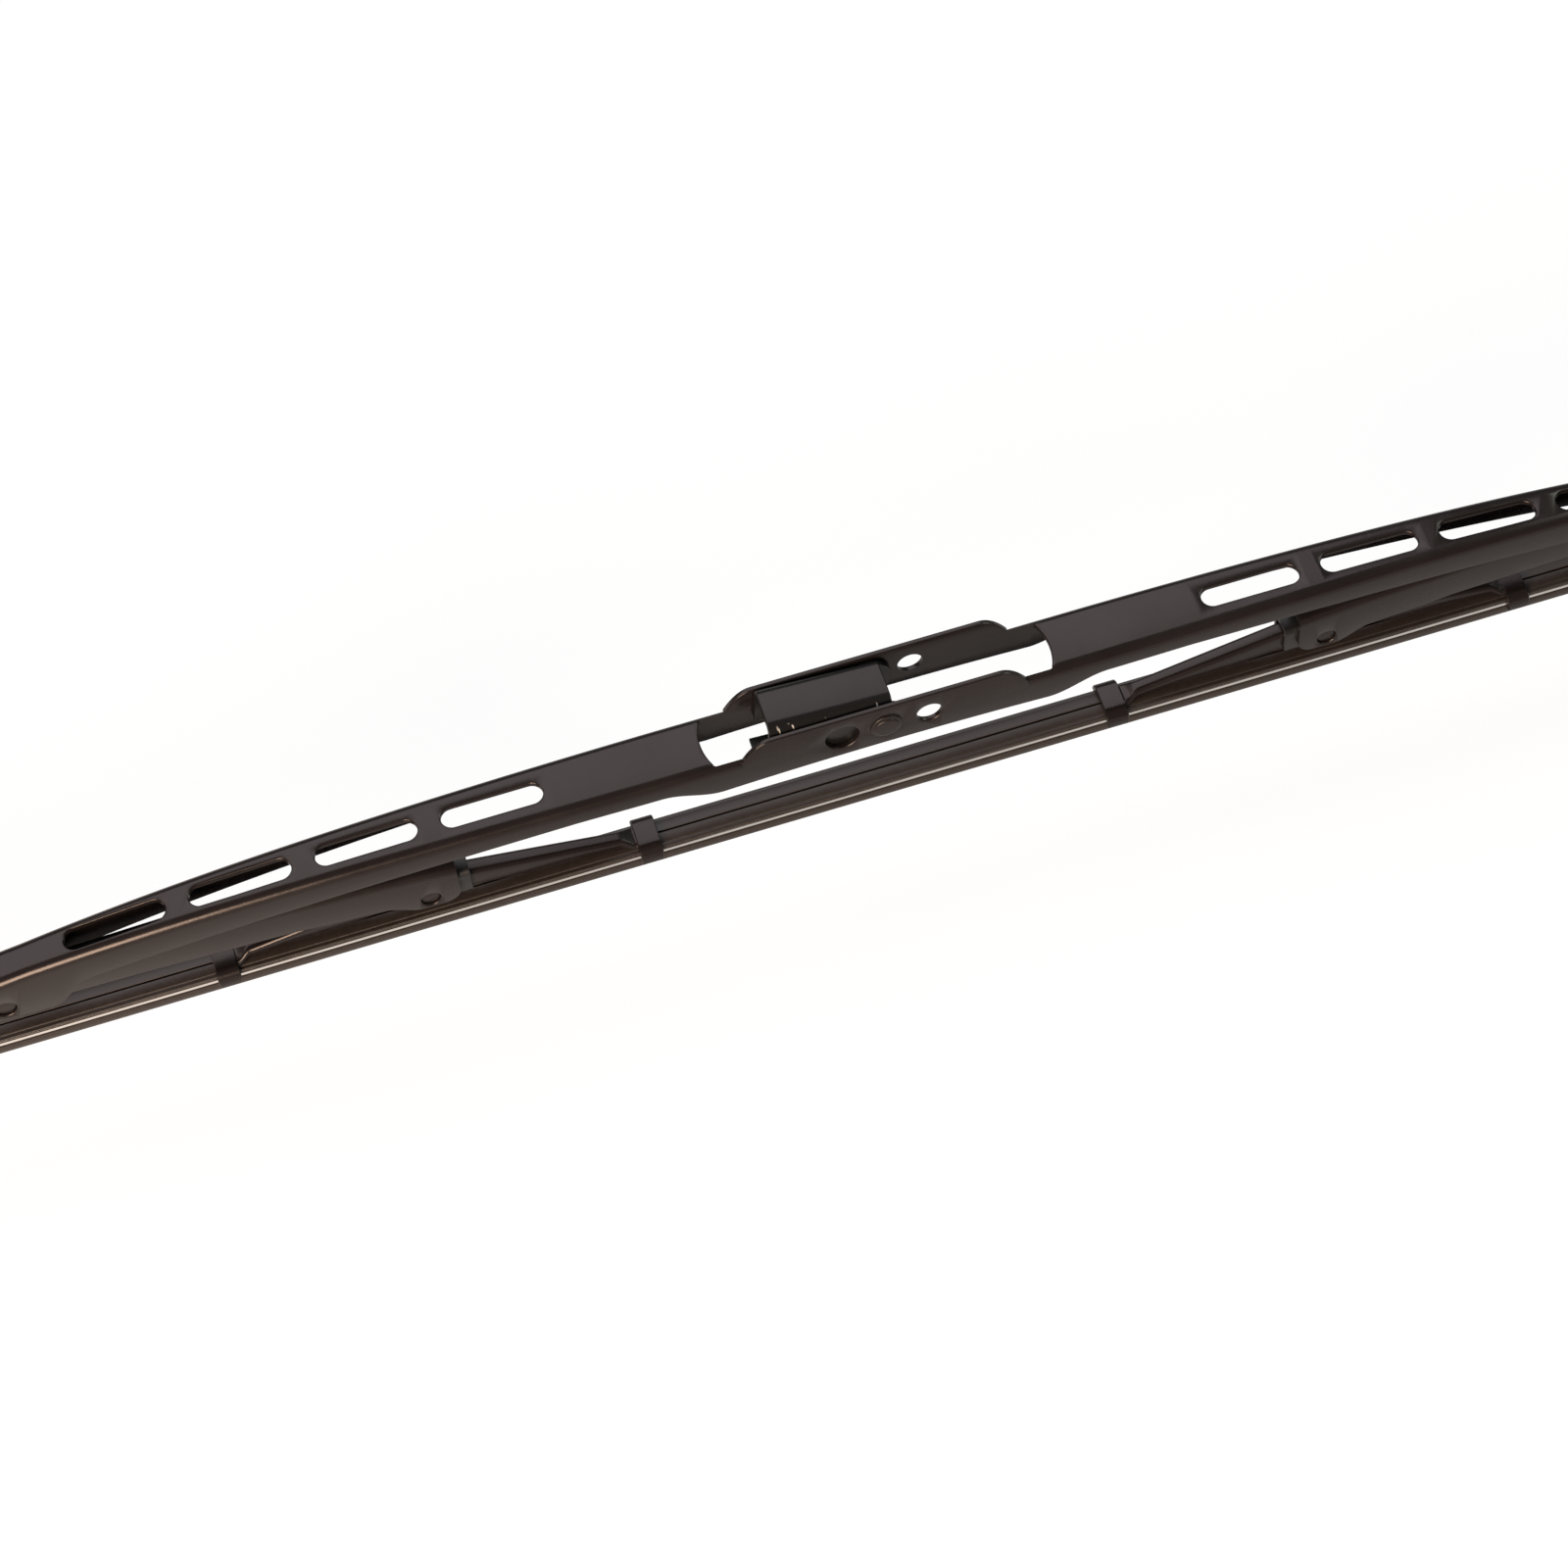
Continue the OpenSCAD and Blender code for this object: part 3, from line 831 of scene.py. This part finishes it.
def close_tree(tree, swept, finish):
    """Makes the swept mesh real, gives it its finish and hands it out."""
    real = add_node(tree, "GeometryNodeRealizeInstances", {"Geometry": swept.outputs["Mesh"]})
    painted = add_node(tree, "GeometryNodeSetMaterial",
                       {"Geometry": real.outputs["Geometry"], "Material": finish})
    add_node(tree, "NodeGroupOutput", {"Geometry": painted.outputs["Geometry"]})
    return tree


def sweep_tree():
    tree, given = open_tree("sweep_section", Start="Float", End="Float", Steps="Int")
    start = add_node(tree, "ShaderNodeCombineXYZ", {"X": given["Start"]})
    end = add_node(tree, "ShaderNodeCombineXYZ", {"X": given["End"]})
    line = add_node(tree, "GeometryNodeCurvePrimitiveLine",
                    {"Start": start.outputs["Vector"], "End": end.outputs["Vector"]})
    rail = add_node(tree, "GeometryNodeResampleCurve",
                    {"Curve": line.outputs["Curve"], "Count": given["Steps"]})
    section = add_node(tree, "GeometryNodeMeshToCurve", {"Mesh": given["Geometry"]})
    swept = add_node(tree, "GeometryNodeCurveToMesh",
                     {"Curve": rail.outputs["Curve"], "Profile Curve": section.outputs["Curve"],
                      "Fill Caps": True})
    return close_tree(tree, swept, given["Finish"])


SWEEP = sweep_tree()


def run_tree(name, tree, verts, edges, values, material):
    """Gives the tree a wire of verts and edges, and keeps the plain mesh it makes."""
    mesh = bpy.data.meshes.new(name)
    mesh.from_pydata(verts, edges, [])
    obj = bpy.data.objects.new(name, mesh)
    bpy.context.collection.objects.link(obj)
    modifier = obj.modifiers.new("tree", "NODES")
    modifier.node_group = tree
    for item in tree.interface.items_tree:
        if item.in_out == "INPUT" and item.name in values:
            modifier[item.identifier] = values[item.name]
    bpy.context.view_layer.update()
    result = bpy.data.meshes.new_from_object(
        obj.evaluated_get(bpy.context.evaluated_depsgraph_get()))
    obj.modifiers.clear()
    obj.data = result
    return refinish(obj, material)


def stretch(name, loop, start, end, material, count):
    """The section swept from start to end, in mm along X."""
    # a profile curve is drawn in its own XY plane, which a path along +X stands on its head
    verts = [(y * MM, -z * MM, 0.0) for y, z in loop]
    return run_tree(name, SWEEP, verts, [(i, (i + 1) % len(verts)) for i in range(len(verts))],
                    {"Start": start * MM, "End": end * MM, "Steps": count, "Finish": material},
                    material)


trial = stretch("trial", spline_loop(-1), -10, 10, STEEL, 3)
print("trial near spline, mm:", [[round(min(v.co[i] for v in trial.data.vertices) * 1000, 2),
                                  round(max(v.co[i] for v in trial.data.vertices) * 1000, 2)]
                                 for i in range(3)])
bpy.data.objects.remove(trial)

# %% [markdown]
# From left to right the bodies are: left outer yoke, left inner yoke, right
# inner yoke and right outer yoke, with the levers and the bridge between them.
# A blend may only join two bodies that share a joint, so the middle stretch is passed on
# from yoke to lever to bridge. Only the stretches with no next body are attached; the
# others stay where they are.

# %% Lay out the stretches
BLADE_END = 300.0
INNER = (LEVER_X - LEVER_ARM - LONG_ARM, LEVER_X - LEVER_ARM + SHORT_ARM)
OUTER = (LEVER_X + LEVER_ARM - SHORT_ARM, BLADE_END)
HAND_OVER = 30.0  # the lever takes the middle stretch from the bridge here
SPLINE_INSET = 3.0  # a spline ends this much short of the strip
BLEND_STEP = 4  # mm between the sections of a stretch that runs between two bodies


def stretches_of(side_name):
    """(start, end, body, next body or None) from the middle outwards, in +X terms."""
    lever, inner, outer = (f"{side_name}_lever", f"{side_name}_inner_yoke",
                           f"{side_name}_outer_yoke")
    return [(0.0, HAND_OVER, "bridge", lever), (HAND_OVER, INNER[0], lever, inner),
            (INNER[0], INNER[1], inner, None), (INNER[1], LEVER_X, inner, lever),
            (LEVER_X, OUTER[0], lever, outer), (OUTER[0], OUTER[1], outer, None)]


def lay(label, loop, material, node, inset):
    made = []
    for side_name, side in (("left", -1), ("right", 1)):
        for number, (a, b, body, following) in enumerate(stretches_of(side_name)):
            if b == BLADE_END:
                b -= inset
            low, high = sorted((side * a, side * b))
            count = max(2, int((high - low) / BLEND_STEP)) if following else 2
            piece = stretch(f"{label}_{side_name}_{number}", loop, low, high, material, count)
            if following:
                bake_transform(piece)
            else:
                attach(piece, body)
            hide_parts(node)
            made.append(piece)
    return made


rubber = lay("strip", strip_loop(), RUBBER, "rubber_strip", 0.0)
near = lay("near_spring", spline_loop(-1), STEEL, "near_spline", SPLINE_INSET)
far = lay("far_spring", spline_loop(1), STEEL, "far_spline", SPLINE_INSET)
print("stretches:", len(rubber), len(near), len(far))

# %% [markdown]
# ## Rivet and pins
# The seven pivots are turned and headed: each is its outline spun about an axis
# across the blade. One Geometry Nodes tree does that for all of them. The outline
# comes in as a line whose X is the radius and whose Y is the place along the pin;
# the tree stores X, straightens the line onto the axis, and sweeps a circle along
# it, scaled by what was stored. The centre rivet has a low stepped head. The six
# pins end a little below the wall, which gives the dark crescent of the photograph.


# %% Lathe tree
def lathe_tree():
    tree, given = open_tree("spin_outline", Place="Vector", Sides="Int")
    drawn = add_node(tree, "ShaderNodeSeparateXYZ",
                     {"Vector": add_node(tree, "GeometryNodeInputPosition").outputs["Position"]})
    line = add_node(tree, "GeometryNodeMeshToCurve", {"Mesh": given["Geometry"]})
    sized = add_node(tree, "GeometryNodeSetCurveRadius",
                     {"Curve": line.outputs["Curve"], "Radius": drawn.outputs["X"]})
    axis = add_node(tree, "ShaderNodeCombineXYZ", {"Y": drawn.outputs["Y"]})
    straight = add_node(tree, "GeometryNodeSetPosition",
                        {"Geometry": sized.outputs["Curve"], "Position": axis.outputs["Vector"],
                         "Offset": given["Place"]})
    circle = add_node(tree, "GeometryNodeCurvePrimitiveCircle",
                      {"Resolution": given["Sides"], "Radius": 1.0})
    stored = add_node(tree, "GeometryNodeInputRadius")
    spun = add_node(tree, "GeometryNodeCurveToMesh",
                    {"Curve": straight.outputs["Geometry"],
                     "Profile Curve": circle.outputs["Curve"],
                     "Scale": stored.outputs["Radius"], "Fill Caps": True})
    return close_tree(tree, spun, given["Finish"])


LATHE = lathe_tree()


def turned(name, half_outline, x, z, material):
    """half_outline is (radius, y) from the near end to the middle, both in mm."""
    outline = half_outline + [(r, -y) for r, y in reversed(half_outline)]
    verts = [(r * MM, y * MM, 0.0) for r, y in outline]
    return run_tree(name, LATHE, verts, [(i, i + 1) for i in range(len(verts) - 1)],
                    {"Place": (x * MM, 0.0, z * MM), "Sides": 40, "Finish": material}, material)


# %% Turn the rivet and the pins
WALL = BRIDGE_HALF
PIN_SINK = 0.45  # a pin's face lies this deep in its hole
RIVET = [(1.9, -WALL - 0.68), (2.18, -WALL - 0.64), (2.3, -WALL - 0.54), (2.34, -WALL - 0.40),
         (2.44, -WALL - 0.34), (2.72, -WALL - 0.32), (2.9, -WALL - 0.26), (2.98, -WALL - 0.14),
         (2.98, -WALL - 0.03), (2.4, -WALL - 0.02)]


def pin_outline(radius, half_length):
    return [(radius - 0.3, -half_length), (radius - 0.12, -half_length + 0.05),
            (radius, -half_length + 0.22)]


turned_pieces = [("centre_rivet", "bridge", RIVET, 0.0, 0.0)]
for side_name, side in (("left", -1), ("right", 1)):
    turned_pieces.append((side_name + "_lever_pin", "bridge",
                          pin_outline(2.0, BRIDGE_END_HALF - PIN_SINK), side * LEVER_X,
                          LEVER_PIVOT))
    for place_name, place in (("inner", -1), ("outer", 1)):
        turned_pieces.append((f"{side_name}_{place_name}_yoke_pin", side_name + "_lever",
                              pin_outline(1.75, LEVER_END_HALF - PIN_SINK),
                              side * (LEVER_X + place * LEVER_ARM), YOKE_PIVOT))
for node, body, outline, x, z in turned_pieces:
    pin = turned(node + "_turned", outline, x, z, PIN_PAINT)
    check_box(pin, node)
    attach(pin, body)
    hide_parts(node)

# %% [markdown]
# ## Liners
# A thin moulded liner sits between each lever and what carries it, and between
# each yoke and its lever. It is a short channel whose ends are chamfered, so that
# a pale line runs round the end that sticks out.


# %% Moulded liners
LINER_BEND, LINER_CHAMFER = 1.3, 0.13


def build_liner(name, x, ends, half, top, low, wall, pivot, radius):
    obj = finish_mesh(sweep(eased_ends(x + ends[0], x + ends[1], lambda trim: channel_section(
        half - trim, top - trim, low + trim, wall - trim, LINER_BEND - trim), LINER_CHAMFER)),
        name, ACETAL)
    combine(obj, [cross_hole(x, pivot, radius, half)], "DIFFERENCE")
    return refinish(obj, ACETAL)


for side_name, side in (("left", -1), ("right", 1)):
    liner = build_liner(side_name + "_lever_liner", side * LEVER_X, (-6, 6), half=2.65,
                        top=STRIP_TOP + 16.5, low=STRIP_TOP + 7.6, wall=0.4,
                        pivot=LEVER_PIVOT, radius=LEVER_BORE)
    made = [(liner, side_name + "_lever_bush", side_name + "_lever")]
    for place_name, place in (("inner", -1), ("outer", 1)):
        node = f"{side_name}_{place_name}_yoke"
        pivot, outward = yokes[node]
        ends = sorted((outward * -6, outward * 8))
        liner = build_liner(node + "_liner", pivot, ends, half=2.7, top=STRIP_TOP + 9.6,
                            low=STRIP_TOP + 3.6, wall=0.85, pivot=YOKE_PIVOT, radius=YOKE_BORE)
        made.append((liner, node + "_bush", node))
    for liner, node, body in made:
        check_box(liner, node)
        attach(liner, body)
        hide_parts(node)

# %% [markdown]
# ## Lock spring
# The spring under the saddle keeps its CAD shape, because only its tab and the
# foot of its leg can be seen. It only gets its finish.

# %% Finish the lock spring
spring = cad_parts["adapter_spring"]
spring.data.materials.clear()
spring.data.materials.append(ACETAL)
print("adapter_spring ->", ACETAL.name)

# %% [markdown]
# ## Floor
# The blade is held by its mount a little over a white sweep, so that the strip has
# room below it at the joints' limits. The floor is plain matt white, lit by the
# lamps, and Light Path adds white to what the camera sees, so that the background
# is white and the shadow stays. For reflections the floor instead glows with a
# painted reflection: a little darker to the right and warmer to the left, as in a
# room whose warm lamp stands at the left.

# %% Floor
LIP_LEVEL = STRIP_TOP - 9.0
FLOOR_Z = LIP_LEVEL - 16.0  # the lip comes down by 15 mm at the joints' limits
OWN_LIGHT = 0.88  # share of the floor's white that comes from itself


def pale_floor():
    material, tree, shader, place = new_material("white_sweep")
    set_shader(shader, base_color=colour("#f3f5f8"), roughness=0.9, specular_ior_level=0.1)
    axes = add_node(tree, "ShaderNodeSeparateXYZ", {"Vector": place})
    across = rescale(tree, axes.outputs["X"], -190 * MM, -50 * MM)
    # painted reflection: what the enamel and the steel mirror of the floor glows warmer towards
    # the left and darker towards the right
    painted_reflection = mix_colours(tree, across, "#fff0e4", "#b6b3b0")
    path = add_node(tree, "ShaderNodeLightPath").outputs
    white = mix_colours(tree, path["Is Camera Ray"], painted_reflection, "#ffffff")
    glow = add_node(tree, "ShaderNodeEmission", {"Color": white, "Strength": 1.0})
    seen = calculate(tree, "MAXIMUM", path["Is Camera Ray"], path["Is Glossy Ray"])
    mix = add_node(tree, "ShaderNodeMixShader",
                   {"Fac": calculate(tree, "MULTIPLY", seen, OWN_LIGHT),
                    "Shader": shader.outputs["BSDF"], "Shader_001": glow.outputs["Emission"]})
    output = next(n for n in tree.nodes if n.type == "OUTPUT_MATERIAL")
    tree.links.new(mix.outputs["Shader"], output.inputs["Surface"])
    bm = bmesh.new()
    bmesh.ops.create_grid(bm, x_segments=1, y_segments=1, size=3.0)
    floor = link_mesh(bm, "floor")
    floor.location.z = FLOOR_Z * MM
    floor.data.materials.append(material)
    return floor


floor = pale_floor()
print("floor at", round(floor.location.z, 4))

# %% [markdown]
# ## Lamps and world
# Black gloss shows its surroundings and little else, so each lamp is placed by
# what mirrors it. Seen from the camera, the web mirrors a place high behind the
# blade, where a broad panel stands; the walls mirror the floor; and the near bend
# mirrors a place low in front. That is left dark, which gives the black band along
# the bend, apart from a warm panel at the left that draws the tan line there. Two
# plain side panels only even out the light on the floor.


# %% Lamps and world
def area_lamp(name, place, target, size, power, tone):
    data = bpy.data.lights.new(name, "AREA")
    data.shape = "RECTANGLE"
    data.size, data.size_y = size
    data.energy = power
    data.color = colour(tone)[:3]
    lamp = bpy.data.objects.new(name, data)
    lamp.location = place
    lamp.rotation_euler = (Vector(target) - Vector(place)).to_track_quat("-Z", "Y").to_euler()
    bpy.context.collection.objects.link(lamp)
    return lamp


def dim_room(strength):
    world = bpy.data.worlds.new("room")
    world.use_nodes = True
    tree = world.node_tree
    tree.nodes.clear()
    path = add_node(tree, "ShaderNodeLightPath")
    light = add_node(tree, "ShaderNodeBackground",
                     {"Color": colour("#f3f1f0"), "Strength": strength})
    seen = add_node(tree, "ShaderNodeBackground", {"Color": colour("#ffffff"), "Strength": 1.0})
    mix = add_node(tree, "ShaderNodeMixShader",
                   {"Fac": path.outputs["Is Camera Ray"],
                    "Shader": light.outputs["Background"],
                    "Shader_001": seen.outputs["Background"]})
    add_node(tree, "ShaderNodeOutputWorld", {"Surface": mix.outputs["Shader"]})
    bpy.context.scene.world = world


dim_room(0.19)
area_lamp("back_panel", (-0.28, 0.9, 1.3), (-0.1, 0, 0), (1.85, 0.9), 12.0, "#f9f5fa")
area_lamp("right_panel", (1.4, 0.2, 1.1), (0, 0, 0), (1.0, 1.0), 17.0, "#ecfbf1")
area_lamp("left_panel", (-1.5, 0.4, 1.1), (0, 0, 0), (1.0, 1.0), 8.0, "#fff3ea")
area_lamp("warm_panel", (-0.70, -0.95, 0.44), (-0.3, 0, 0), (0.78, 0.58), 32.0, "#ffe4cb")
bpy.context.scene.view_settings.view_transform = "Standard"
